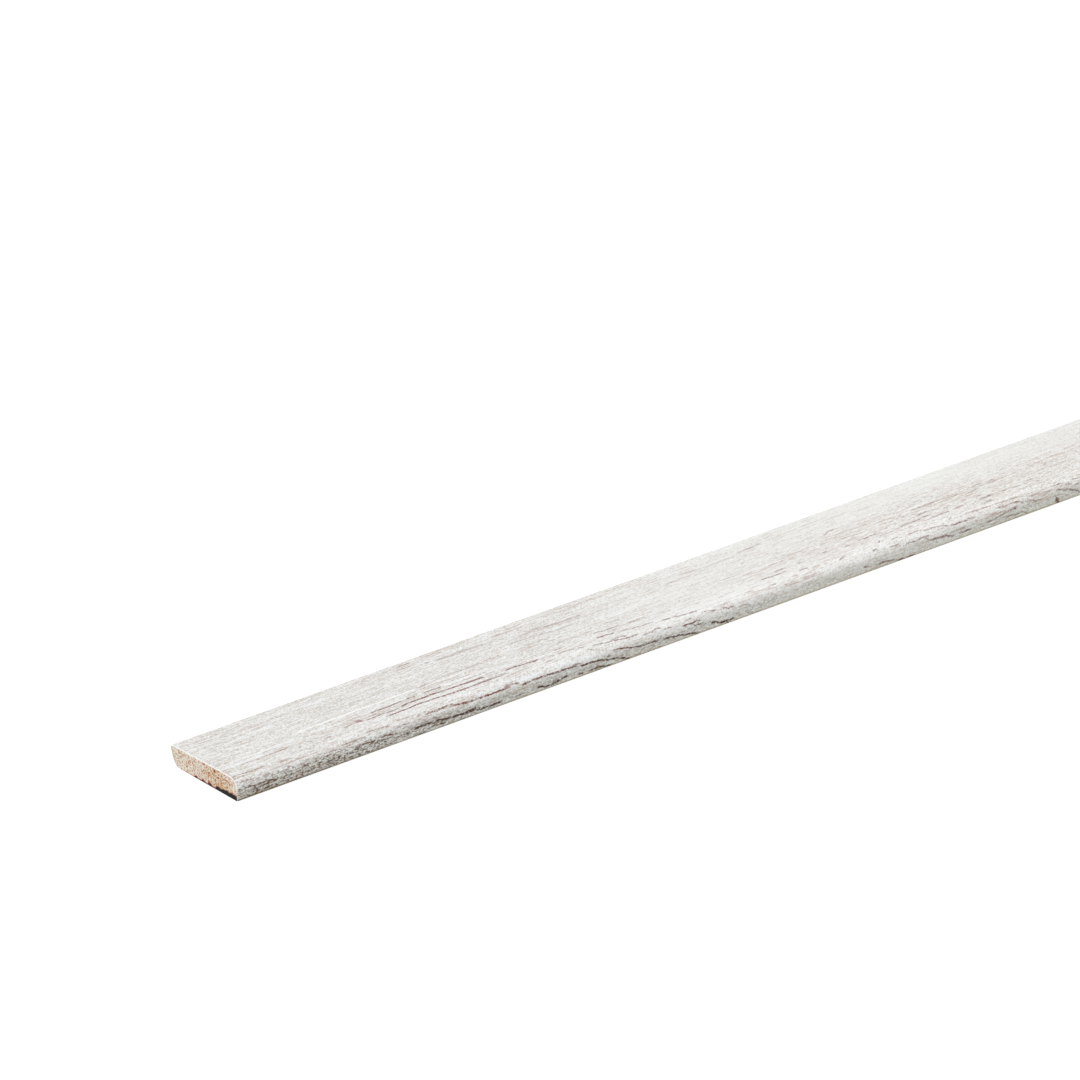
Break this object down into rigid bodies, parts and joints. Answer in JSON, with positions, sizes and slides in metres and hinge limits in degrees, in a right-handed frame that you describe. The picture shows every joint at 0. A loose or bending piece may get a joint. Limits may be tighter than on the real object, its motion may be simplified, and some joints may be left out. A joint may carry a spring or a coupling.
{
  "type": "skirting board",
  "caption": "Foil-wrapped fibreboard skirting board: rounded top edge, slightly crowned face, floor edge with a small rounding that curves in under the face, flat back and square sawn ends.",
  "frame": {"origin": "middle of the flat back, at the centre of the board's length and width", "axes": "+X along the board, +Y from the rounded top edge to the floor edge, +Z from the back to the face; the board lies on its back with its face up"},
  "size_m": [2.4, 0.056, 0.012],
  "materials": {
    "fibreboard": "raw sawn medium density fibreboard",
    "decor_foil": "matt foil printed with whitewashed wood grain"
  },
  "bodies": {
    "root": {"fibreboard_core": "fibreboard", "decor_foil": "decor_foil"}
  },
  "joints": []
}
